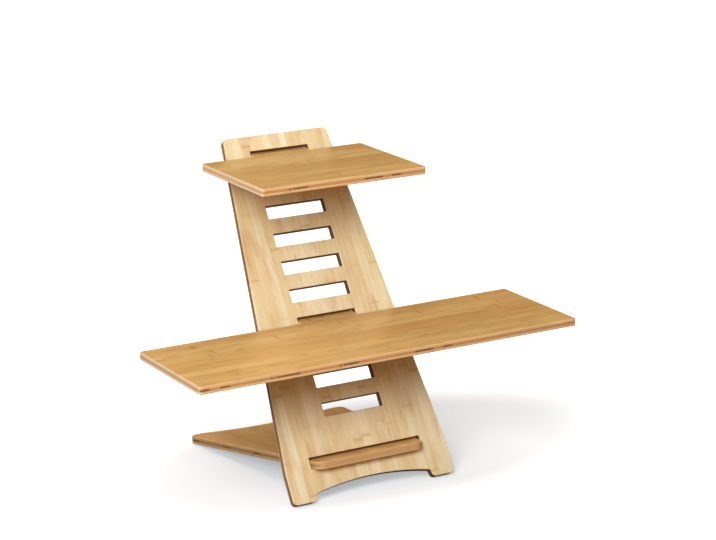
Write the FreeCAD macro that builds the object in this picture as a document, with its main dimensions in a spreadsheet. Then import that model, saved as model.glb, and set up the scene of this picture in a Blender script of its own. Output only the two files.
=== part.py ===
"""Standing desk rest that plugs together from slotted three-ply bamboo boards.

A stand leans back and carries ten level slots. A brace board passes through a
wide slot near its foot and reaches the floor behind. Two shelves, a wide low
one and a narrow high one, each hold by a tongue wedged in one of the slots.
Every board is glued from a front or top face ply, a cross-laid core ply and a
back or bottom face ply, and each ply is one sub-part.

Millimetres. X runs to the right, Y to the back and Z up. The origin is on the
floor, midway between the front of the wide shelf and the heel of the brace.
"""
import FreeCAD, Part
import os
import Sketcher

# Driving sizes, in millimetres, degrees and counts.
SIZES = {
    "board_thick": "15",
    "face_ply": "5",
    "arris": "1.5",
    "wedge_gap": "0.3",
    "side_gap": "0.6",
    "lean": "31.9",
    "stand_wide": "350",
    "stand_long": "716",
    "stand_top_wide": "226",
    "taper_start": "60",
    "top_round": "10",
    "foot_wide": "50",
    "foot_rise": "14",
    "foot_round": "9",
    "arch_rise": "13.5",
    "arch_fillet": "4",
    "slot_wide": "126.7",
    "slot_first": "152.8",
    "slot_pitch": "56.25",
    "slot_count": "10",
    "slot_round": "1.5",
    "shelf_deep": "240",
    "shelf_round": "5",
    "tongue_long": "50",
    "tongue_round": "6",
    "tongue_fillet": "0.5",
    "lower_shelf_wide": "800",
    "lower_shelf_slot": "4",
    "upper_shelf_slot": "10",
    "brace_reach": "424",
    "brace_slope": "8.42",
    "nose_out": "24",
    "brace_nose_wide": "228.3",
    "nose_round": "18",
    "heel_round": "12",
    "heel_foot_wide": "32",
    "heel_arch": "27",
}

# Sizes that follow from the driving ones. Sizes and Layout are the two sheets.
# A board passes level or nearly level through a slot cut square in the leaning
# stand. It bears on the rounded front edge below it and on the rounded back
# edge above it, with the wedge gap at each. The brace's heel and the upper shelf
# are as wide as the stand's feet, because all three come from boards of one width.
LAYOUT = {
    "core_ply": "Sizes.board_thick - 2 * Sizes.face_ply",
    "brace_heel_wide": "Sizes.stand_wide",
    "upper_shelf_wide": "Sizes.stand_wide",
    "toe_drop": "Sizes.arris * (cos(Sizes.lean) + sin(Sizes.lean) - 1)",
    "heel_drop": "Sizes.arris * (cos(Sizes.brace_slope) + sin(Sizes.brace_slope) - 1)",
    "toe_high": "Sizes.board_thick * sin(Sizes.lean) - toe_drop",
    "slot_high": "(Sizes.board_thick * (1 + sin(Sizes.lean)) + 2 * Sizes.wedge_gap"
                 " - 2 * toe_drop) / cos(Sizes.lean)",
    "slot_run": "(Sizes.slot_count - 1) * Sizes.slot_pitch",
    "tongue_wide": "Sizes.slot_wide - 2 * Sizes.side_gap",
    "tilt": "Sizes.lean - Sizes.brace_slope",
    "tilt_drop": "Sizes.arris * (cos(tilt) + sin(tilt) - 1)",
    "brace_slot_high": "(Sizes.board_thick * (1 + sin(tilt)) + 2 * Sizes.wedge_gap"
                       " - 2 * tilt_drop) / cos(tilt)",
    "brace_slot_low": "Sizes.arris - (Sizes.arris + Sizes.wedge_gap) / cos(tilt)"
                      " + ((Sizes.brace_reach - Sizes.arris * cos(Sizes.lean)) * sin(Sizes.brace_slope)"
                      " - (toe_high + heel_drop - Sizes.arris * sin(Sizes.lean))"
                      " * cos(Sizes.brace_slope)) / cos(tilt)",
    "brace_behind": "(Sizes.brace_reach * cos(Sizes.lean) + (toe_high + heel_drop) * sin(Sizes.lean)"
                    " - Sizes.board_thick * (1 + sin(tilt))) / cos(tilt)",
    "brace_long": "brace_behind + Sizes.board_thick / cos(tilt) + Sizes.nose_out",
    "brace_slot_wide": "brace_heel_wide + 2 * Sizes.wedge_gap"
                       " - (brace_heel_wide - Sizes.brace_nose_wide)"
                       " * brace_behind / brace_long",
    "lower_slot_low": "Sizes.slot_first + (Sizes.lower_shelf_slot - 1) * Sizes.slot_pitch",
    "upper_slot_low": "Sizes.slot_first + (Sizes.upper_shelf_slot - 1) * Sizes.slot_pitch",
    "lower_under": "toe_high - toe_drop + Sizes.wedge_gap + lower_slot_low * cos(Sizes.lean)",
    "upper_under": "toe_high - toe_drop + Sizes.wedge_gap + upper_slot_low * cos(Sizes.lean)",
    "lower_back": "Sizes.arris + ((lower_under + Sizes.arris - toe_high) * sin(Sizes.lean)"
                  " - Sizes.arris - Sizes.wedge_gap) / cos(Sizes.lean)",
    "upper_back": "Sizes.arris + ((upper_under + Sizes.arris - toe_high) * sin(Sizes.lean)"
                  " - Sizes.arris - Sizes.wedge_gap) / cos(Sizes.lean)",
    "heel_out": "(Sizes.board_thick - Sizes.arris) * sin(Sizes.brace_slope)"
                " + Sizes.arris * (1 - cos(Sizes.brace_slope))",
    "middle": "(lower_back - Sizes.shelf_deep + Sizes.brace_reach + heel_out) / 2",
}

# Two lengths closer than this, in millimetres, are the same one.
TOLERANCE = 1e-4

# A cut must take away at least this many cubic millimetres.
LEAST_CUT = 1.0


def make_sheet(doc, name, cells, prefix=""):
    """Write one alias and its value or formula to each row of a new sheet."""
    sheet = doc.addObject("Spreadsheet::Sheet", name)
    for row, (alias, text) in enumerate(cells.items(), start=1):
        sheet.set("A%d" % row, alias)
        sheet.set("B%d" % row, prefix + text)
        sheet.setAlias("B%d" % row, alias)
    doc.recompute()
    return sheet


def new_sketch(body, name, height):
    """Attach a new sketch to the body's own XY plane, raised by a formula."""
    sketch = body.newObject("Sketcher::SketchObject", name)
    plane = next(item for item in body.Origin.OriginFeatures if item.Role == "XY_Plane")
    sketch.AttachmentSupport = (plane, [""])
    sketch.MapMode = "FlatFace"
    sketch.setExpression("AttachmentOffset.Base.z", height)
    return sketch


def bind(sketch, constraint, name, formula):
    """Add a dimension to a sketch and tie it to a formula."""
    sketch.renameConstraint(sketch.addConstraint(constraint), name)
    sketch.setExpression("Constraints." + name, formula)


def value_of(doc, formula):
    """Work out a formula on the sheets."""
    return float(doc.getObject("Layout").evalExpression(formula.replace("Layout.", "")))


def draw_outline(sketch, corners, arch_from=None, arch_rise=None):
    """Draw a closed outline, anticlockwise, through corners given as pairs of formulas.

    The stretch that starts at corner arch_from is an arc that hollows the
    outline by arch_rise along Y, and every other stretch is straight.
    """
    doc = sketch.Document
    points = [FreeCAD.Vector(value_of(doc, x), value_of(doc, y), 0) for x, y in corners]
    count = len(points)
    for i, start in enumerate(points):
        end = points[(i + 1) % count]
        if i == arch_from:
            sketch.addGeometry(arch_over(start, end, value_of(doc, arch_rise)), False)
        else:
            sketch.addGeometry(Part.LineSegment(start, end), False)
    # An arc runs anticlockwise about its own centre, so an arch is drawn backwards.
    heads = [2 if i == arch_from else 1 for i in range(count)]
    for i in range(count):
        following = (i + 1) % count
        joined = Sketcher.Constraint("Coincident", i, 3 - heads[i], following, heads[following])
        sketch.addConstraint(joined)
    for i, (x, y) in enumerate(corners):
        bind(sketch, Sketcher.Constraint("DistanceX", -1, 1, i, heads[i], points[i].x), "x%d" % i, x)
        bind(sketch, Sketcher.Constraint("DistanceY", -1, 1, i, heads[i], points[i].y), "y%d" % i, y)
    if arch_from is not None:
        chord = "(%s - (%s))" % (corners[(arch_from + 1) % count][0], corners[arch_from][0])
        radius = "(%s^2 / 4 + (%s)^2) / (2 * abs(%s))" % (chord, arch_rise, arch_rise)
        bind(sketch, Sketcher.Constraint("Radius", arch_from, value_of(doc, radius)), "arch", radius)


def arch_over(start, end, rise):
    """Return the arc between two points level in Y whose crown is off their chord by rise."""
    half = (end - start).Length / 2
    radius = (half ** 2 + rise ** 2) / (2 * abs(rise))
    to_centre = rise - radius if rise > 0 else rise + radius
    centre = (start + end) / 2 + FreeCAD.Vector(0, to_centre, 0)
    circle = Part.Circle(centre, FreeCAD.Vector(0, 0, 1), radius)
    return Part.ArcOfCircle(circle, circle.parameter(end), circle.parameter(start))


def draw_rectangle(sketch, half_wide, low, high):
    """Draw a rectangle centred on X from low to high, all given as formulas."""
    left = "-(%s)" % half_wide
    draw_outline(sketch, [(left, low), (half_wide, low), (half_wide, high), (left, high)])


def pad(body, sketch, name, thick):
    """Raise a sketch to one ply's thickness."""
    feature = body.newObject("PartDesign::Pad", name)
    feature.Profile = sketch
    feature.setExpression("Length", thick)
    body.Document.recompute()
    return feature


def pocket(body, sketch, name):
    """Cut a sketch right through a ply."""
    before = body.Shape.Volume
    feature = body.newObject("PartDesign::Pocket", name)
    feature.Profile = sketch
    feature.Type = "ThroughAll"
    feature.Midplane = True
    body.Document.recompute()
    if body.Shape.Volume > before - LEAST_CUT:
        raise RuntimeError(name + " cut nothing")
    return feature


def upright_edges(shape, chosen):
    """Name the edges square to the ply whose x and y satisfy a test."""
    names = []
    for number, edge in enumerate(shape.Edges, start=1):
        first, last = edge.Vertexes[0].Point, edge.Vertexes[-1].Point
        upright = near(first.x, last.x) and near(first.y, last.y) and not near(first.z, last.z)
        if upright and chosen(first.x, first.y):
            names.append("Edge%d" % number)
    return names


def round_corners(body, ending, radius, chosen):
    """Round the corners of a ply's outline that satisfy a test on x and y."""
    base = body.Tip
    names = upright_edges(base.Shape, chosen)
    if not names:
        raise RuntimeError(body.Name + ending + " found no corner")
    feature = body.newObject("PartDesign::Fillet", body.Name + ending)
    feature.Base = (base, names)
    feature.Refine = False
    feature.setExpression("Radius", radius)
    body.Document.recompute()


def rim_edges(shape, outer):
    """Name the edges round a ply's outer face, leaving out any line that only divides it."""
    levels = [face.BoundBox.ZMax for face in shape.Faces]
    level = max(levels) if outer == "top" else min(levels)
    names = []
    for number, edge in enumerate(shape.Edges, start=1):
        if near(edge.BoundBox.ZMin, level) and near(edge.BoundBox.ZMax, level):
            faces = shape.ancestorsOfType(edge, Part.Face)
            if not all(near(face.BoundBox.ZLength, 0) for face in faces):
                names.append("Edge%d" % number)
    return names


def round_arris(body, outer):
    """Round the rim of a ply's outer face, the "top" or the "bottom" one."""
    base = body.Tip
    feature = body.newObject("PartDesign::Fillet", body.Name + "_arris")
    feature.Base = (base, rim_edges(base.Shape, outer))
    feature.Refine = False
    feature.setExpression("Radius", "Sizes.arris")
    body.Document.recompute()


def near(first, second):
    """Say whether two lengths are the same."""
    return abs(first - second) < TOLERANCE


def shape_stand(body, thick, level):
    """Cut one ply of the leaning stand, with X across it and Y up its slope."""
    doc = body.Document
    foot_in = "(Sizes.stand_wide / 2 - Sizes.foot_wide)"
    corners = [
        ("-" + foot_in, "Sizes.foot_rise"),
        (foot_in, "Sizes.foot_rise"),
        (foot_in, "0"),
        ("Sizes.stand_wide / 2", "0"),
        ("Sizes.stand_wide / 2", "Sizes.taper_start"),
        ("Sizes.stand_top_wide / 2", "Sizes.stand_long"),
        ("-Sizes.stand_top_wide / 2", "Sizes.stand_long"),
        ("-Sizes.stand_wide / 2", "Sizes.taper_start"),
        ("-Sizes.stand_wide / 2", "0"),
        ("-" + foot_in, "0"),
    ]
    outline = new_sketch(body, body.Name + "_outline", level)
    draw_outline(outline, corners, arch_from=0, arch_rise="Sizes.arch_rise")
    pad(body, outline, body.Name + "_sheet", thick)

    slot = new_sketch(body, body.Name + "_slot", level)
    draw_rectangle(slot, "Sizes.slot_wide / 2", "Sizes.slot_first", "Sizes.slot_first + Layout.slot_high")
    cut = pocket(body, slot, body.Name + "_first_slot")
    slots = body.newObject("PartDesign::LinearPattern", body.Name + "_slots")
    slots.Originals = [cut]
    slots.Direction = (slot, ["V_Axis"])
    slots.setExpression("Length", "Layout.slot_run")
    slots.setExpression("Occurrences", "Sizes.slot_count")
    body.Tip = slots
    doc.recompute()

    wide_slot = new_sketch(body, body.Name + "_wide_slot", level)
    draw_rectangle(wide_slot, "Layout.brace_slot_wide / 2", "Layout.brace_slot_low",
                   "Layout.brace_slot_low + Layout.brace_slot_high")
    pocket(body, wide_slot, body.Name + "_brace_slot")

    spring_x = value_of(doc, foot_in)
    spring_y = value_of(doc, "Sizes.foot_rise")
    top_y = value_of(doc, "Sizes.stand_long")
    walls = [value_of(doc, "Sizes.slot_wide / 2"), value_of(doc, "Layout.brace_slot_wide / 2")]
    round_corners(body, "_feet", "Sizes.foot_round", lambda x, y: near(y, 0))
    round_corners(body, "_springs", "Sizes.arch_fillet",
                  lambda x, y: near(abs(x), spring_x) and near(y, spring_y))
    round_corners(body, "_top", "Sizes.top_round", lambda x, y: near(y, top_y))
    round_corners(body, "_slot_corners", "Sizes.slot_round",
                  lambda x, y: any(near(abs(x), wall) for wall in walls))


def shape_brace(body, thick, level):
    """Cut one ply of the tapered brace, with Y at 0 at the heel and negative to the nose."""
    doc = body.Document
    arch_end = "(Layout.brace_heel_wide / 2 - Sizes.heel_foot_wide)"
    corners = [
        ("-Sizes.brace_nose_wide / 2", "-Layout.brace_long"),
        ("Sizes.brace_nose_wide / 2", "-Layout.brace_long"),
        ("Layout.brace_heel_wide / 2", "0"),
        (arch_end, "0"),
        ("-" + arch_end, "0"),
        ("-Layout.brace_heel_wide / 2", "0"),
    ]
    outline = new_sketch(body, body.Name + "_outline", level)
    draw_outline(outline, corners, arch_from=3, arch_rise="-Sizes.heel_arch")
    pad(body, outline, body.Name + "_sheet", thick)

    nose_y = value_of(doc, "-Layout.brace_long")
    heel_x = value_of(doc, "Layout.brace_heel_wide / 2")
    round_corners(body, "_nose", "Sizes.nose_round", lambda x, y: near(y, nose_y))
    round_corners(body, "_heel", "Sizes.heel_round", lambda x, y: near(abs(x), heel_x))


def shape_shelf(body, thick, level, wide):
    """Cut one ply of a shelf, with Y at 0 along its back edge and the tongue behind it.

    The board and its tongue stay two faces in one plane, because things stand
    on the board's face alone. That is why no step from here on is refined.
    """
    doc = body.Document
    outline = new_sketch(body, body.Name + "_outline", level)
    draw_rectangle(outline, wide + " / 2", "-Sizes.shelf_deep", "0")
    pad(body, outline, body.Name + "_sheet", thick)
    tongue = new_sketch(body, body.Name + "_tongue_outline", level)
    draw_rectangle(tongue, "Layout.tongue_wide / 2", "0", "Sizes.tongue_long")
    pad(body, tongue, body.Name + "_tongue", thick).Refine = False
    doc.recompute()

    side_x = value_of(doc, wide + " / 2")
    tongue_x = value_of(doc, "Layout.tongue_wide / 2")
    tip_y = value_of(doc, "Sizes.tongue_long")
    round_corners(body, "_corners", "Sizes.shelf_round", lambda x, y: near(abs(x), side_x))
    round_corners(body, "_tip", "Sizes.tongue_round", lambda x, y: near(y, tip_y))
    round_corners(body, "_root", "Sizes.tongue_fillet",
                  lambda x, y: near(abs(x), tongue_x) and near(y, 0))


def place(body, turn, back, up):
    """Turn a ply about X and set it at a distance back and up, all given as formulas."""
    body.Placement = FreeCAD.Placement(FreeCAD.Vector(), FreeCAD.Rotation(FreeCAD.Vector(1, 0, 0), 1))
    body.setExpression("Placement.Rotation.Angle", turn)
    body.setExpression("Placement.Base.y", back)
    body.setExpression("Placement.Base.z", up)


def make_board(doc, shape, plies, turn, back, up):
    """Make the three plies of one board, listed from its lowest to its highest face."""
    thicks = ("Sizes.face_ply", "Layout.core_ply", "Sizes.face_ply")
    levels = ("0", "Sizes.face_ply", "Sizes.face_ply + Layout.core_ply")
    for name, thick, level, outer in zip(plies, thicks, levels, ("bottom", None, "top")):
        body = doc.addObject("PartDesign::Body", name)
        body.Label = name
        shape(body, thick, level)
        if outer:
            round_arris(body, outer)
        place(body, turn, back, up)


def make_shelf(doc, which, wide):
    """Make the "lower" or the "upper" shelf, level and pushed home in its slot."""
    plies = [which + end for end in ("_shelf_bottom_ply", "_shelf_core_ply", "_shelf_top_ply")]
    make_board(doc, lambda body, thick, level: shape_shelf(body, thick, level, wide), plies,
               "0 deg", "Layout.%s_back - Layout.middle" % which, "Layout.%s_under" % which)


def make_model(doc):
    """Build every board of the stand in its place."""
    make_sheet(doc, "Sizes", SIZES)
    make_sheet(doc, "Layout", LAYOUT, prefix="=")
    make_board(doc, shape_stand, ["stand_back_ply", "stand_core_ply", "stand_front_ply"],
               "90 deg - Sizes.lean * 1 deg",
               "Sizes.board_thick * cos(Sizes.lean) - Layout.middle", "-Layout.toe_drop")
    make_board(doc, shape_brace, ["brace_bottom_ply", "brace_core_ply", "brace_top_ply"],
               "-Sizes.brace_slope * 1 deg",
               "Sizes.brace_reach - Layout.middle", "-Layout.heel_drop")
    make_shelf(doc, "lower", "Sizes.lower_shelf_wide")
    make_shelf(doc, "upper", "Layout.upper_shelf_wide")
    doc.recompute()


def check_model(doc):
    """Stop if any object failed or any ply has no valid shape."""
    for item in doc.Objects:
        if "Invalid" in item.State or "Error" in item.State:
            raise RuntimeError("%s is %s" % (item.Label, item.State))
    for body in bodies_of(doc):
        if body.Shape.isNull() or not body.Shape.isValid() or len(body.Shape.Solids) != 1:
            raise RuntimeError(body.Label + " has no valid solid")


def bodies_of(doc):
    """List the plies, which are the sub-parts."""
    return [item for item in doc.Objects if item.TypeId == "PartDesign::Body"]


def write_parts(doc):
    """Write each ply to its own file, named by its label."""
    os.makedirs("parts", exist_ok=True)
    for body in bodies_of(doc):
        body.Shape.exportStep("parts/%s.step" % body.Label)
        box = body.Shape.BoundBox
        print("%-26s x %8.2f %8.2f  y %8.2f %8.2f  z %8.2f %8.2f" % (
            body.Label, box.XMin, box.XMax, box.YMin, box.YMax, box.ZMin, box.ZMax))


model = FreeCAD.newDocument("desk_rest")
make_model(model)
check_model(model)
write_parts(model)
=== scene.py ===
"""Looks for a plug-together bamboo lectern of four slotted three-ply boards.

The boards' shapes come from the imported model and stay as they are. This file
gives every ply its bamboo, worked out in the board's own directions, and sets
the floor, the lamps and the camera. Lengths are in metres and colours are
linear red, green and blue.
"""
import logging
import math
from dataclasses import dataclass, field
from enum import Enum

import bmesh
import bpy
from mathutils import Matrix, Vector

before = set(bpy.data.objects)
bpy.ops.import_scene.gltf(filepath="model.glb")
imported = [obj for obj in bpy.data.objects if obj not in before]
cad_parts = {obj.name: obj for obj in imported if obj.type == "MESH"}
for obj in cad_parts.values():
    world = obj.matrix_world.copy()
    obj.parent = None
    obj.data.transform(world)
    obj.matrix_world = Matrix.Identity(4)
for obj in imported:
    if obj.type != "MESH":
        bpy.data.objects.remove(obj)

LOG = logging.getLogger("lectern")

Socket = bpy.types.NodeSocket
Value = Socket | float
Colour = tuple[float, float, float]

WHITE: Colour = (1.0, 1.0, 1.0)


def srgb(red: int, green: int, blue: int) -> Colour:
    """Turn a colour written from 0 to 255 into linear light.

    Args:
        red: its red part.
        green: its green part.
        blue: its blue part.

    Returns:
        The colour in linear light, from 0 to 1.
    """
    def linear(part: int) -> float:
        """Turn one part of the colour into linear light."""
        share = part / 255
        return share / 12.92 if share <= 0.04045 else ((share + 0.055) / 1.055) ** 2.4
    return linear(red), linear(green), linear(blue)


class Graph:
    """A material's node tree, with one short method for each kind of step."""

    def __init__(self, material: bpy.types.Material) -> None:
        """Empty the material's tree.

        Args:
            material: the material to build.
        """
        material.use_nodes = True
        self.tree = material.node_tree
        self.tree.nodes.clear()

    def node(self, kind: str, **settings: object) -> bpy.types.Node:
        """Add a node.

        Args:
            kind: the node's Blender type.
            settings: properties to set on the node.

        Returns:
            The new node.
        """
        made = self.tree.nodes.new(kind)
        for name, value in settings.items():
            setattr(made, name, value)
        return made

    def feed(self, socket: Socket, value: Value | Vector | Colour) -> None:
        """Link a socket to another one, or set it to a constant.

        Args:
            socket: the input to feed.
            value: an output socket, or a number, vector or colour.
        """
        if isinstance(value, Socket):
            self.tree.links.new(value, socket)
        elif socket.type == "RGBA":
            socket.default_value = (*value, 1.0)
        else:
            socket.default_value = value

    def fill(self, node: bpy.types.Node, values: dict[str, Value | Vector | Colour]) -> None:
        """Feed several inputs of a node.

        Args:
            node: the node.
            values: what each input gets, by the input's name.
        """
        for name, value in values.items():
            self.feed(node.inputs[name], value)

    def math(self, operation: str, *values: Value, clamp: bool = False) -> Socket:
        """Return the result of one Math node.

        Args:
            operation: the Math node's operation.
            values: its inputs in order.
            clamp: whether the result is kept between 0 and 1.

        Returns:
            The node's output.
        """
        made = self.node("ShaderNodeMath", operation=operation, use_clamp=clamp)
        for socket, value in zip(made.inputs, values):
            self.feed(socket, value)
        return made.outputs[0]

    def times(self, first: Value, second: Value) -> Socket:
        """Return the product of two values."""
        return self.math("MULTIPLY", first, second)

    def plus(self, first: Value, second: Value) -> Socket:
        """Return the sum of two values."""
        return self.math("ADD", first, second)

    def less(self, first: Value, second: Value) -> Socket:
        """Return the first value less the second."""
        return self.math("SUBTRACT", first, second)

    def size(self, value: Value) -> Socket:
        """Return a value without its sign."""
        return self.math("ABSOLUTE", value)

    def ramp(self, value: Value, low: float, high: float, to_low: float = 0.0,
             to_high: float = 1.0) -> Socket:
        """Return a smooth step of a value.

        Args:
            value: what is read.
            low: the value at which the step starts.
            high: the value at which it ends.
            to_low: the result at and below low.
            to_high: the result at and above high.

        Returns:
            The stepped value.
        """
        made = self.node("ShaderNodeMapRange", interpolation_type="SMOOTHSTEP")
        for socket, given in zip(made.inputs, (value, low, high, to_low, to_high)):
            self.feed(socket, given)
        return made.outputs[0]

    def vector(self, *parts: Value) -> Socket:
        """Return a vector.

        Args:
            parts: its X, Y and Z.

        Returns:
            The vector.
        """
        made = self.node("ShaderNodeCombineXYZ")
        for socket, value in zip(made.inputs, parts):
            self.feed(socket, value)
        return made.outputs[0]

    def dot(self, first: Socket, second: Vector) -> Socket:
        """Return a dot product.

        Args:
            first: the vector that changes over the surface.
            second: the fixed vector.

        Returns:
            The product.
        """
        made = self.node("ShaderNodeVectorMath", operation="DOT_PRODUCT")
        self.feed(made.inputs[0], first)
        self.feed(made.inputs[1], second)
        return made.outputs["Value"]

    def noise(self, vector: Socket, detail: float, roughness: float = 0.5) -> Socket:
        """Return smooth noise from 0 to 1 about 0.5, one cycle to a unit of the vector.

        Args:
            vector: where the noise is read.
            detail: how many finer layers are added.
            roughness: how strong the finer layers are.

        Returns:
            The noise.
        """
        made = self.node("ShaderNodeTexNoise")
        self.fill(made, {"Vector": vector, "Scale": 1.0, "Detail": detail, "Roughness": roughness})
        return made.outputs["Fac"]

    def dice(self, value: Value, seed: float) -> Socket:
        """Return a random number from 0 to 1 that is the same wherever the value is.

        Args:
            value: the value that the number belongs to.
            seed: what sets this draw apart from others on the same value.

        Returns:
            The number.
        """
        made = self.node("ShaderNodeTexWhiteNoise", noise_dimensions="2D")
        self.feed(made.inputs["Vector"], self.vector(value, seed, 0.0))
        return made.outputs["Value"]

    def mix(self, share: Value, first: Socket | Colour, second: Socket | Colour) -> Socket:
        """Return a mix of two colours.

        Args:
            share: how much of the second colour is used, from 0 to 1.
            first: the colour at 0.
            second: the colour at 1.

        Returns:
            The mixed colour.
        """
        made = self.node("ShaderNodeMix", data_type="RGBA")
        # The node repeats its inputs' names for each kind of data, so they go by number.
        for number, value in {0: share, 6: first, 7: second}.items():
            self.feed(made.inputs[number], value)
        return made.outputs[2]

    def placed(self, place: dict[str, Vector]) -> Socket:
        """Return the object's own coordinates as read from another place.

        Args:
            place: the Location, Rotation or Scale of that place.

        Returns:
            The coordinates, as a vector.
        """
        made = self.node("ShaderNodeMapping", vector_type="TEXTURE")
        self.fill(made, {"Vector": self.node("ShaderNodeTexCoord").outputs["Object"], **place})
        return made.outputs[0]

    def close(self, surface: Socket) -> None:
        """End the tree with the shader that the surface gets."""
        self.fill(self.node("ShaderNodeOutputMaterial"), {"Surface": surface})


@dataclass(frozen=True)
class Step:
    """A smooth step between two readings.

    Attributes:
        start: the reading at which it starts.
        end: the reading at which it ends.
        falls: whether it goes from 1 down to 0 instead of up.
    """

    start: float
    end: float
    falls: bool = False

    def of(self, graph: Graph, value: Value) -> Socket:
        """Return the step of a value."""
        return graph.ramp(value, self.start, self.end, *((1.0, 0.0) if self.falls else (0.0, 1.0)))


class Grain(Enum):
    """The way a ply's strips run: along this one of its board's own axes."""

    ACROSS = "X"
    ALONG = "Y"

    def crossed(self) -> "Grain":
        """Return the other way."""
        return Grain.ALONG if self is Grain.ACROSS else Grain.ACROSS


class Draw(Enum):
    """What a random number is drawn for, with what that adds to the finish's seed."""

    TONE = 0.0
    PATCH = 2.0
    KNUCKLE = 5.0
    LENGTH = 7.0
    RING = 9.0


@dataclass(frozen=True)
class BoardPlace:
    """Where a board lies.

    Attributes:
        turn: how far it is turned about X, in radians.
        corner: the middle of its low face's low edge.
        thick: its thickness.
    """

    turn: float
    corner: Vector
    thick: float

    def axis(self, name: str) -> Vector:
        """Return the board's own X, Y or Z axis in the object's frame."""
        own = Vector([1.0 if name == letter else 0.0 for letter in "XYZ"])
        return Matrix.Rotation(self.turn, 3, "X") @ own

    @staticmethod
    def of(nodes: list[str], turn: float) -> "BoardPlace":
        """Find a board's place from its plies.

        Args:
            nodes: the board's plies.
            turn: the board's turn about X, in radians.

        Returns:
            The board's place.
        """
        flat = Matrix.Rotation(-turn, 3, "X")
        points = [flat @ v.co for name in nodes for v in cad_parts[name].data.vertices]
        low = Vector([min(p[i] for p in points) for i in range(3)])
        high = Vector([max(p[i] for p in points) for i in range(3)])
        low.x = 0.0
        return BoardPlace(turn, flat.inverted() @ low, high.z - low.z)


# What a surface is, by how far it faces along its board's thickness (the sawn walls and the
# rounded rim) or along its strips (the end grain), from 0 to 1.
SAWN = Step(0.15, 0.70, falls=True)
RIM_STARTS = Step(0.20, 0.60)
RIM_ENDS = Step(0.75, 0.98, falls=True)
END_GRAIN = Step(0.45, 0.85)


@dataclass(frozen=True)
class Spot:
    """A point on a ply's surface, as its material reads it.

    Attributes:
        side: the distance from the board's middle line.
        up: the distance from the board's low edge.
        through: the distance from the board's low face.
        along: the distance along the strips.
        across: the distance across the strips.
        number: the number of the strip.
        sawn: how much of a sawn wall the surface is, from 0 to 1.
        rim: how much of a rounded rim it is.
        butt: how much of an end of the strips it is.
    """

    side: Socket
    up: Socket
    through: Socket
    along: Socket
    across: Socket
    number: Socket
    sawn: Socket
    rim: Socket
    butt: Socket

    @staticmethod
    def read(graph: Graph, place: BoardPlace, grain: Grain, strip: float) -> "Spot":
        """Read a point in its board's own directions.

        Args:
            graph: the material's tree.
            place: where the ply's board lies.
            grain: the way the ply's strips run.
            strip: the width of one strip.

        Returns:
            The point.
        """
        parts = graph.node("ShaderNodeSeparateXYZ")
        turn = Vector((place.turn, 0.0, 0.0))
        graph.feed(parts.inputs[0], graph.placed({"Location": place.corner, "Rotation": turn}))
        side, up, through = parts.outputs
        along, across = (side, up) if grain is Grain.ACROSS else (up, side)
        number = graph.math("FLOOR", graph.math("DIVIDE", across, strip))
        facing = graph.node("ShaderNodeTexCoord").outputs["Normal"]
        flat = graph.size(graph.dot(facing, place.axis("Z")))
        cut = graph.size(graph.dot(facing, place.axis(grain.value)))
        rim = graph.times(RIM_STARTS.of(graph, flat), RIM_ENDS.of(graph, flat))
        return Spot(side, up, through, along, across, number, SAWN.of(graph, flat), rim,
                    END_GRAIN.of(graph, cut))


@dataclass(frozen=True)
class Streaks:
    """Marks drawn out along the strips.

    Attributes:
        along: cycles to a metre along the strips.
        across: cycles to a metre across and through them.
        detail: how many finer layers are added.
        shown: the noise at which the marks begin to show, and at which they show fully.
        roughness: how strong the finer layers are.
    """

    along: float
    across: float
    detail: float
    shown: Step
    roughness: float = 0.6

    def lay(self, graph: Graph, spot: Spot) -> Socket:
        """Return how strongly the marks show at a point.

        Args:
            graph: the material's tree.
            spot: the point.

        Returns:
            The marks' strength, from 0 to 1.
        """
        ways = (spot.along, self.along), (spot.across, self.across), (spot.through, self.across)
        place = graph.vector(*(graph.times(way, cycles) for way, cycles in ways))
        return self.shown.of(graph, graph.noise(place, self.detail, self.roughness))


# The strips' tone is a sum of random parts, less an even one. The clouds lie over it.
LENGTH_TONE = 0.25
DRIFT_TONE = 0.45
DRIFT_CYCLES = 5.0
TONE_LESS = 0.16
CLOUD_CYCLES = (9.0, 34.0)
CLOUD = Step(0.48, 0.72)

# The fine fibres, the broader veins among them, and the short flecks.
FIBRES = Streaks(14.0, 1100.0, 2.0, Step(0.38, 0.72))
VEINS = Streaks(4.5, 330.0, 1.0, Step(0.42, 0.72))
FLECKS = Streaks(22.0, 170.0, 1.0, Step(0.60, 0.76))
FIBRE_SHARE = 0.45
VEIN_SHARE = 0.55

# A knuckle is a wavering ring in a soft halo, by the distance from its middle. Some are faint.
WAVER_CYCLES = 420.0
WAVER_MIDDLE = 0.35
WAVER_REACH = 0.0080
RING = Step(0.0006, 0.0060, falls=True)
HALO = Step(0.0030, 0.0200, falls=True)
HALO_SHARE = 0.22
FAINTEST_RING = 0.10
RING_LUCK = (0.10, 0.95)

# A glue seam, by the distance from its line. Its seed is the same in every finish.
SEAM = Step(0.00015, 0.00075, falls=True)
SEAM_SEED = 3.0

# Sawn faces: how much of the end grain's colour the strips' ends take, and the dark brown
# painted shade on the walls inside the board's outline, the slots' walls, up to a soft line.
BUTT_SHARE = 0.7
PAINTED_SLOT_SHADE = srgb(98, 58, 24)
SLOT_SHADE_EDGE = 0.002

# The burnt patches in the strips' ends, by the distance from the middle of the board's edge.
PATCH = Step(0.0022, 0.0034, falls=True)
PATCH_EDGE = 0.04
RAGGED_CYCLES = 120.0
RAGGED_CHOICE = 0.9
RAGGED_REACH = 0.0024

# How ring and fibre stand out of the surface, and what the varnish makes of it.
RING_RELIEF = 0.5
FIBRE_RELIEF = 0.6
RELIEF_GLOSS = -0.05
SAWN_ROUGHNESS = 0.4
BUMP_STRENGTH = 0.25
BUMP_HEIGHT = 0.0002


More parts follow.
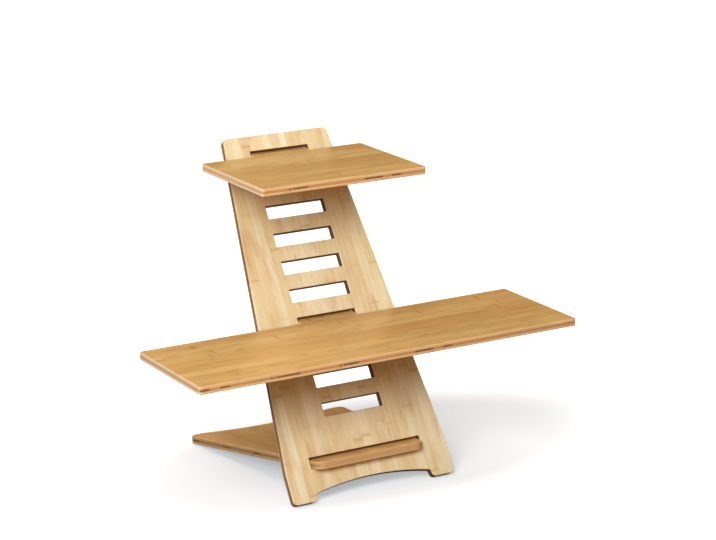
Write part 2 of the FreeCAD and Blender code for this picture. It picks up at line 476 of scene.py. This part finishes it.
@dataclass(frozen=True)
class Bamboo:
    """A finish of glued bamboo strips under a satin varnish.

    Attributes:
        name: the material's name.
        pale: the palest strips' colour.
        deep: the deepest strips' colour.
        knuckle: the colour of the knuckles, the fibres, the flecks and the clouds.
        end: the end grain's colour.
        patch: the colour of the burnt patches and of the glue seams.
        wall: the sawn walls' colour.
        seed: what the finish's random numbers start from.
        patch_share: the share of the strips' ends that are burnt.
        patch_dark: how strong a burnt patch is.
        strip: the width of one strip.
        strip_tone: how far the strips' tones differ.
        knuckle_dark: how strong the strongest knuckle is.
        knuckle_pitch: the distance from one knuckle of a strip to the next.
        seam_dark: how strong the strongest glue seam is.
        fibre_dark: how strong the fibres are.
        fleck_dark: how strong the flecks are.
        cloud_dark: how strong the clouds are.
        wall_dark: how much of their own colour the sawn walls take.
        slot_shade: how strongly painted shade darkens the walls inside the board's outline.
        slot_shade_half: half the width, at the board's low edge, of what lies inside.
        slot_shade_taper: how much narrower each side of that gets for each metre up.
        painted_rim_highlight: how much paler the rounded rim is painted, as a painted highlight.
        roughness: how matt the surface is.
        gloss: how strongly the wood itself reflects.
        coat: how strongly the varnish reflects.
        coat_roughness: how matt the varnish is.
    """

    name: str
    pale: Colour
    deep: Colour
    knuckle: Colour
    end: Colour
    patch: Colour
    wall: Colour
    seed: float
    patch_share: float = 0.0
    patch_dark: float = 0.70
    strip: float = 0.020
    strip_tone: float = 0.65
    knuckle_dark: float = 0.55
    knuckle_pitch: float = 0.310
    seam_dark: float = 0.16
    fibre_dark: float = 0.34
    fleck_dark: float = 0.32
    cloud_dark: float = 0.16
    wall_dark: float = 0.30
    slot_shade: float = 0.0
    slot_shade_half: float = 0.155
    slot_shade_taper: float = 0.0945
    painted_rim_highlight: float = 0.25
    roughness: float = 0.42
    gloss: float = 0.5
    coat: float = 0.10
    coat_roughness: float = 0.38

    def material(self, place: BoardPlace, grain: Grain) -> bpy.types.Material:
        """Build the finish for one ply.

        Args:
            place: where the ply's board lies.
            grain: the way the ply's strips run.

        Returns:
            The material.
        """
        made = bpy.data.materials.new(self.name)
        graph = Graph(made)
        spot = Spot.read(graph, place, grain, self.strip)
        joint = graph.plus(graph.math("DIVIDE", spot.along, self.knuckle_pitch),
                           self.draw(graph, spot.number, Draw.KNUCKLE))
        colour = self.strips(graph, spot, joint)
        colour, fibre = self.fibres(graph, colour, spot)
        colour, ring = self.knuckles(graph, colour, spot, joint)
        colour, seam = self.seams(graph, colour, spot)
        colour = self.sawn_walls(graph, colour, spot)
        colour = self.patches(graph, colour, spot, place.thick / 2)
        # Painted highlight: the rounded rim is mixed towards the palest strips' colour.
        colour = graph.mix(graph.times(spot.rim, self.painted_rim_highlight), colour, self.pale)
        relief = graph.less(graph.times(ring, RING_RELIEF),
                            graph.plus(graph.times(fibre, FIBRE_RELIEF), seam))
        self.varnish(graph, colour, relief, spot.sawn)
        return made

    def draw(self, graph: Graph, value: Value, what: Draw) -> Socket:
        """Return a random number of this finish, from 0 to 1, for a value."""
        return graph.dice(value, self.seed + what.value)

    def strips(self, graph: Graph, spot: Spot, joint: Socket) -> Socket:
        """Return the strips' colour: their own tones, drifting along them, under clouds.

        Args:
            graph: the material's tree.
            spot: the point.
            joint: the distance along the strip, counted in knuckles.

        Returns:
            The colour.
        """
        own = graph.times(self.draw(graph, spot.number, Draw.TONE), self.strip_tone)
        slow = graph.vector(graph.times(spot.along, DRIFT_CYCLES), spot.number, self.seed)
        drift = graph.times(graph.noise(slow, detail=1.0), DRIFT_TONE)
        length = graph.plus(graph.math("FLOOR", graph.plus(joint, 0.5)), spot.number)
        between = graph.times(self.draw(graph, length, Draw.LENGTH), LENGTH_TONE)
        tone = graph.plus(graph.plus(own, between), drift)
        share = graph.math("SUBTRACT", tone, TONE_LESS, clamp=True)
        colour = graph.mix(share, self.pale, self.deep)
        along, across = (graph.times(way, cycles)
                         for way, cycles in zip((spot.along, spot.across), CLOUD_CYCLES))
        cloud = CLOUD.of(graph, graph.noise(graph.vector(along, across, self.seed), detail=2.0))
        return graph.mix(graph.times(cloud, self.cloud_dark), colour, self.knuckle)

    def fibres(self, graph: Graph, colour: Socket, spot: Spot) -> tuple[Socket, Socket]:
        """Lay the fibres, veins and flecks over the strips.

        Args:
            graph: the material's tree.
            colour: the colour so far.
            spot: the point.

        Returns:
            The colour, and how strongly the fibres and veins show.
        """
        fibre = graph.plus(graph.times(FIBRES.lay(graph, spot), FIBRE_SHARE),
                           graph.times(VEINS.lay(graph, spot), VEIN_SHARE))
        colour = graph.mix(graph.times(fibre, self.fibre_dark), colour, self.knuckle)
        fleck = graph.times(FLECKS.lay(graph, spot), self.fleck_dark)
        return graph.mix(fleck, colour, self.knuckle), fibre

    def knuckles(self, graph: Graph, colour: Socket, spot: Spot,
                 joint: Socket) -> tuple[Socket, Socket]:
        """Lay the knuckles over the strips, halfway between whole numbers of the count.

        Args:
            graph: the material's tree.
            colour: the colour so far.
            spot: the point.
            joint: the distance along the strip, counted in knuckles.

        Returns:
            The colour, and how strongly the rings show.
        """
        off = graph.size(graph.less(graph.math("FRACT", joint), 0.5))
        shaken = graph.vector(graph.times(spot.across, WAVER_CYCLES), spot.number, 0.0)
        waver = graph.less(graph.noise(shaken, detail=1.0), WAVER_MIDDLE)
        distance = graph.plus(graph.times(off, self.knuckle_pitch),
                              graph.times(waver, WAVER_REACH))
        ring = RING.of(graph, distance)
        halo = graph.times(HALO.of(graph, distance), HALO_SHARE)
        colour = graph.mix(halo, colour, self.deep)
        strength = graph.ramp(self.draw(graph, spot.number, Draw.RING), *RING_LUCK,
                              FAINTEST_RING, self.knuckle_dark)
        return graph.mix(graph.times(ring, strength), colour, self.knuckle), ring

    def seams(self, graph: Graph, colour: Socket, spot: Spot) -> tuple[Socket, Socket]:
        """Lay the glue seams between the strips.

        Args:
            graph: the material's tree.
            colour: the colour so far.
            spot: the point.

        Returns:
            The colour, and how much of a seam the point is.
        """
        part = graph.math("FRACT", graph.math("DIVIDE", spot.across, self.strip))
        edge = graph.less(0.5, graph.size(graph.less(part, 0.5)))
        seam = SEAM.of(graph, graph.times(edge, self.strip))
        dark = graph.times(graph.dice(spot.number, SEAM_SEED), self.seam_dark)
        return graph.mix(graph.times(seam, dark), colour, self.patch), seam

    def sawn_walls(self, graph: Graph, colour: Socket, spot: Spot) -> Socket:
        """Darken the sawn walls and the end grain, and paint shade on the walls of the slots.

        Args:
            graph: the material's tree.
            colour: the colour so far.
            spot: the point.

        Returns:
            The colour.
        """
        colour = graph.mix(graph.times(spot.sawn, self.wall_dark), colour, self.wall)
        colour = graph.mix(graph.times(spot.butt, BUTT_SHARE), colour, self.end)
        # Painted shade: the walls inside the board's outline are darkened towards a deep brown.
        outward = graph.plus(graph.size(spot.side), graph.times(spot.up, self.slot_shade_taper))
        inside = graph.ramp(outward, self.slot_shade_half - SLOT_SHADE_EDGE,
                            self.slot_shade_half + SLOT_SHADE_EDGE, self.slot_shade, 0.0)
        return graph.mix(graph.times(spot.sawn, inside), colour, PAINTED_SLOT_SHADE)

    def patches(self, graph: Graph, colour: Socket, spot: Spot, middle: float) -> Socket:
        """Lay ragged burnt patches in some of the strips' ends.

        Args:
            graph: the material's tree.
            colour: the colour so far.
            spot: the point.
            middle: the distance from the board's low face to the middle of its edge.

        Returns:
            The colour.
        """
        torn = graph.vector(graph.times(spot.across, RAGGED_CYCLES), spot.number, 1.0)
        ragged = graph.noise(torn, detail=1.0)
        chosen = graph.plus(self.draw(graph, spot.number, Draw.PATCH),
                            graph.times(graph.less(ragged, 0.5), RAGGED_CHOICE))
        unburnt = 1.0 - self.patch_share
        burnt = graph.ramp(chosen, unburnt, unburnt + PATCH_EDGE)
        off_middle = graph.plus(graph.size(graph.less(spot.through, middle)),
                                graph.times(ragged, RAGGED_REACH))
        shape = graph.times(burnt, PATCH.of(graph, off_middle))
        dark = graph.times(spot.butt, self.patch_dark)
        return graph.mix(graph.times(shape, dark), colour, self.patch)

    def varnish(self, graph: Graph, colour: Socket, relief: Socket, sawn: Socket) -> None:
        """Close the tree with a satin varnish, which the sawn walls soak up.

        Args:
            graph: the material's tree.
            colour: the finished colour.
            relief: the height of the relief.
            sawn: how much of a sawn wall the surface is.
        """
        bump = graph.node("ShaderNodeBump")
        graph.fill(bump, {"Strength": BUMP_STRENGTH, "Distance": BUMP_HEIGHT, "Height": relief})
        worn = graph.plus(self.roughness, graph.times(relief, RELIEF_GLOSS))
        shader = graph.node("ShaderNodeBsdfPrincipled")
        graph.fill(shader, {
            "Base Color": colour,
            "Roughness": graph.plus(worn, graph.times(sawn, SAWN_ROUGHNESS)),
            "Specular IOR Level": self.gloss,
            "Coat Weight": graph.times(graph.less(1.0, sawn), self.coat),
            "Coat Roughness": self.coat_roughness,
            "Normal": bump.outputs[0],
        })
        graph.close(shader.outputs[0])


@dataclass(frozen=True)
class Board:
    """One board of three glued plies.

    Attributes:
        body: the body that the board is.
        layers: the names of its plies, from the low face to the high one.
        turn: how far it is turned about X, in radians.
        grain: the way the strips of its two outer plies run.
        face: the finish of the outer plies.
        core: the finish of the middle ply.
    """

    body: str
    layers: tuple[str, str, str]
    turn: float
    grain: Grain
    face: Bamboo
    core: Bamboo

    def nodes(self) -> list[str]:
        """Return the names of the board's plies."""
        return [f"{self.body}_{layer}_ply" for layer in self.layers]

    def dress(self) -> None:
        """Give each ply its bamboo."""
        place = BoardPlace.of(self.nodes(), self.turn)
        outer = self.face.material(place, self.grain)
        inner = self.core.material(place, self.grain.crossed())
        for name, finish in zip(self.nodes(), (outer, inner, outer)):
            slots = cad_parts[name].material_slots
            for slot in slots:
                slot.material = finish
            LOG.info("%s has %d slot(s) of %s", name, len(slots), finish.name)


@dataclass(frozen=True)
class Lamp:
    """A soft square lamp that faces the object.

    Attributes:
        name: its name.
        bearing: how far it stands round to the right of the object's front, in degrees.
        height: how far it stands above the level, in degrees.
        power: its power, in watts.
        colour: the colour of its light.
        side: the length of its side.
        reach: its distance from the point that it faces.
        target: the point that it faces.
    """

    name: str
    bearing: float
    height: float
    power: float
    colour: Colour = WHITE
    side: float = 1.5
    reach: float = 3.2
    target: Vector = field(default_factory=lambda: Vector((0.0, 0.0, 0.3)))

    def build(self) -> None:
        """Make the lamp."""
        light = bpy.data.lights.new(self.name, "AREA")
        light.shape = "SQUARE"
        light.size = self.side
        light.energy = self.power
        light.color = self.colour
        lamp = bpy.data.objects.new(self.name, light)
        turn = Matrix.Rotation(math.radians(self.bearing), 3, "Z")
        raise_up = Matrix.Rotation(-math.radians(self.height), 3, "X")
        away = turn @ raise_up @ Vector((0.0, -self.reach, 0.0))
        lamp.location = self.target + away
        lamp.rotation_euler = (-away).to_track_quat("-Z", "Y").to_euler()
        bpy.context.scene.collection.objects.link(lamp)


@dataclass(frozen=True)
class Studio:
    """The floor, the backdrop's light and the lamps.

    Attributes:
        lamps: the lamps.
        floor_half: half the floor's width.
        floor_seen: the floor's colour where the camera sees it.
        floor_bounce: how pale it is to the light that it throws back on the object.
        floor_lift: the glow that brings the seen floor up to white where no shadow falls.
        pool_centre: the middle of the pool in which the floor's shadows show.
        pool_squash: how many times wider than deep the pool is.
        pool_start: half the width at which the shadows begin to fade.
        pool_end: half the width at which they are gone.
        ambient: the strength of the even light from all round.
    """

    lamps: tuple[Lamp, ...]
    floor_half: float = 9.0
    floor_seen: Colour = (0.550, 0.510, 0.473)
    floor_bounce: float = 0.22
    floor_lift: Colour = (0.370, 0.410, 0.440)
    pool_centre: Vector = field(default_factory=lambda: Vector((0.09, 0.02, 0.0)))
    pool_squash: float = 1.9
    pool_start: float = 0.40
    pool_end: float = 0.78
    ambient: float = 0.01

    def build(self) -> None:
        """Make the whole studio."""
        self.build_floor()
        self.build_world()
        for lamp in self.lamps:
            lamp.build()

    def build_floor(self) -> None:
        """Make the floor."""
        mesh = bpy.data.meshes.new("floor")
        sheet = bmesh.new()
        bmesh.ops.create_grid(sheet, x_segments=1, y_segments=1, size=self.floor_half)
        sheet.to_mesh(mesh)
        sheet.free()
        floor = bpy.data.objects.new("floor", mesh)
        bpy.context.scene.collection.objects.link(floor)
        mesh.materials.append(self.floor_paint())

    def floor_paint(self) -> bpy.types.Material:
        """Mix a pale paint, whose shadows show in a pool round the object and fade to white.

        Returns:
            The paint.
        """
        paint = bpy.data.materials.new("studio_floor")
        graph = Graph(paint)
        seen = graph.node("ShaderNodeLightPath").outputs["Is Camera Ray"]
        squash = Vector((1.0, 1.0 / self.pool_squash, 1.0))
        away = graph.node("ShaderNodeVectorMath", operation="LENGTH")
        graph.feed(away.inputs[0], graph.placed({"Location": self.pool_centre, "Scale": squash}))
        outside = graph.ramp(away.outputs["Value"], self.pool_start, self.pool_end)
        matt = graph.node("ShaderNodeBsdfDiffuse")
        bounce = (self.floor_bounce,) * 3
        graph.fill(matt, {"Color": graph.mix(seen, bounce, self.floor_seen)})
        glow = graph.node("ShaderNodeEmission")
        lift = graph.mix(outside, self.floor_lift, WHITE)
        graph.fill(glow, {"Color": lift, "Strength": seen})
        both = graph.node("ShaderNodeAddShader")
        for socket, part in zip(both.inputs, (matt, glow)):
            graph.feed(socket, part.outputs[0])
        graph.close(both.outputs[0])
        return paint

    def build_world(self) -> None:
        """Make the air: white where the camera sees it, and a faint fill elsewhere."""
        world = bpy.data.worlds.new("studio_air")
        bpy.context.scene.world = world
        world.use_nodes = True
        tree = world.node_tree
        sky = tree.nodes["Background"]
        path = tree.nodes.new("ShaderNodeLightPath")
        blend = tree.nodes.new("ShaderNodeMapRange")
        blend.inputs["To Min"].default_value = self.ambient
        tree.links.new(path.outputs["Is Camera Ray"], blend.inputs["Value"])
        tree.links.new(blend.outputs[0], sky.inputs["Strength"])
        sky.inputs["Color"].default_value = (*WHITE, 1.0)


@dataclass(frozen=True)
class Viewpoint:
    """The photograph's camera.

    Attributes:
        place: where the camera stands.
        yaw: how far it looks to the right of straight back, in radians.
        pitch: how far it looks down, in radians.
        roll: how far it is turned about its own line of sight, in radians.
        lens: its focal length, in millimetres.
        sensor: the width of its sensor, in millimetres.
    """

    place: Vector = field(default_factory=lambda: Vector((-2.1476, -3.7090, 1.5849)))
    yaw: float = math.radians(30.84)
    pitch: float = math.radians(15.60)
    roll: float = math.radians(-0.11)
    lens: float = 118.66
    sensor: float = 36.0

    def build(self) -> None:
        """Make the camera and set it as the scene's own."""
        data = bpy.data.cameras.new("camera")
        data.sensor_width = self.sensor
        data.lens = self.lens
        camera = bpy.data.objects.new("camera", data)
        bpy.context.scene.collection.objects.link(camera)
        level = Matrix.Rotation(math.pi / 2 - self.pitch, 4, "X")
        turned = Matrix.Rotation(-self.yaw, 4, "Z") @ level @ Matrix.Rotation(self.roll, 4, "Z")
        camera.matrix_world = Matrix.Translation(self.place) @ turned
        bpy.context.scene.camera = camera


STAND_FACE = Bamboo(
    "stand_face_bamboo", seed=1.0,
    pale=srgb(214, 207, 173), deep=srgb(195, 166, 106), knuckle=srgb(163, 107, 50),
    end=srgb(118, 72, 34), patch=srgb(96, 56, 28), wall=srgb(176, 134, 84),
    strip_tone=0.62, knuckle_dark=0.50, knuckle_pitch=0.21, cloud_dark=0.32,
    wall_dark=0.6, slot_shade=0.9, coat=0.35)
STAND_CORE = Bamboo(
    "stand_core_bamboo", seed=2.0,
    pale=srgb(170, 118, 66), deep=srgb(140, 90, 46), knuckle=srgb(116, 72, 36),
    end=srgb(118, 72, 34), patch=srgb(70, 40, 20), wall=srgb(116, 74, 38),
    patch_share=0.35, wall_dark=0.85, slot_shade=0.9)
SHELF_FACE = Bamboo(
    "shelf_face_bamboo", seed=3.0,
    pale=srgb(217, 178, 111), deep=srgb(189, 140, 73), knuckle=srgb(138, 84, 34),
    end=srgb(218, 194, 162), patch=srgb(110, 66, 32), wall=srgb(206, 184, 152),
    fibre_dark=0.50, fleck_dark=0.55, coat=0.15)
SHELF_CORE = Bamboo(
    "shelf_core_bamboo", seed=4.0,
    pale=srgb(212, 162, 98), deep=srgb(190, 138, 78), knuckle=srgb(150, 98, 46),
    end=srgb(160, 106, 54), patch=srgb(88, 50, 22), wall=srgb(206, 168, 122),
    patch_share=0.30, patch_dark=0.8)
BRACE_FACE = Bamboo(
    "brace_face_bamboo", seed=5.0,
    pale=srgb(222, 175, 107), deep=srgb(198, 146, 82), knuckle=srgb(147, 96, 45),
    end=srgb(172, 136, 88), patch=srgb(104, 62, 32), wall=srgb(172, 136, 86),
    coat=0.15)
BRACE_CORE = Bamboo(
    "brace_core_bamboo", seed=6.0,
    pale=srgb(192, 150, 98), deep=srgb(174, 130, 80), knuckle=srgb(146, 94, 48),
    end=srgb(140, 110, 74), patch=srgb(84, 48, 22), wall=srgb(158, 126, 86),
    patch_share=0.22)

LEAN = math.radians(31.9)
BRACE_SLOPE = math.radians(8.42)

STOOD = ("back", "core", "front")
LAID = ("bottom", "core", "top")
BOARDS = (
    Board("stand", STOOD, math.pi / 2 - LEAN, Grain.ALONG, STAND_FACE, STAND_CORE),
    Board("brace", LAID, -BRACE_SLOPE, Grain.ALONG, BRACE_FACE, BRACE_CORE),
    Board("lower_shelf", LAID, 0.0, Grain.ACROSS, SHELF_FACE, SHELF_CORE),
    Board("upper_shelf", LAID, 0.0, Grain.ACROSS, SHELF_FACE, SHELF_CORE),
)

STUDIO = Studio(lamps=(
    Lamp("key_lamp", -45.0, 30.0, 127.0, colour=(0.95, 1.0, 1.07)),
    Lamp("sheen_lamp", 24.0, 37.0, 14.5),
    Lamp("right_top_lamp", 90.0, 68.0, 28.0),
    Lamp("right_low_lamp", 90.0, 18.0, 14.0),
    Lamp("left_top_lamp", -60.0, 68.0, 20.0),
    Lamp("back_lamp", -150.0, 40.0, 27.0),
    Lamp("back_low_lamp", 180.0, 6.0, 32.0, colour=(1.0, 0.74, 0.45)),
    Lamp("warm_lamp", -20.0, 8.0, 25.0, colour=(1.0, 0.46, 0.15)),
))


def main() -> None:
    """Dress the boards and set the studio round them."""
    logging.basicConfig(level=logging.INFO, format="%(name)s: %(message)s")
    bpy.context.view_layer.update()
    bpy.context.scene.view_settings.view_transform = "Standard"
    for board in BOARDS:
        board.dress()
    STUDIO.build()
    Viewpoint().build()


if __name__ == "__main__":
    main()
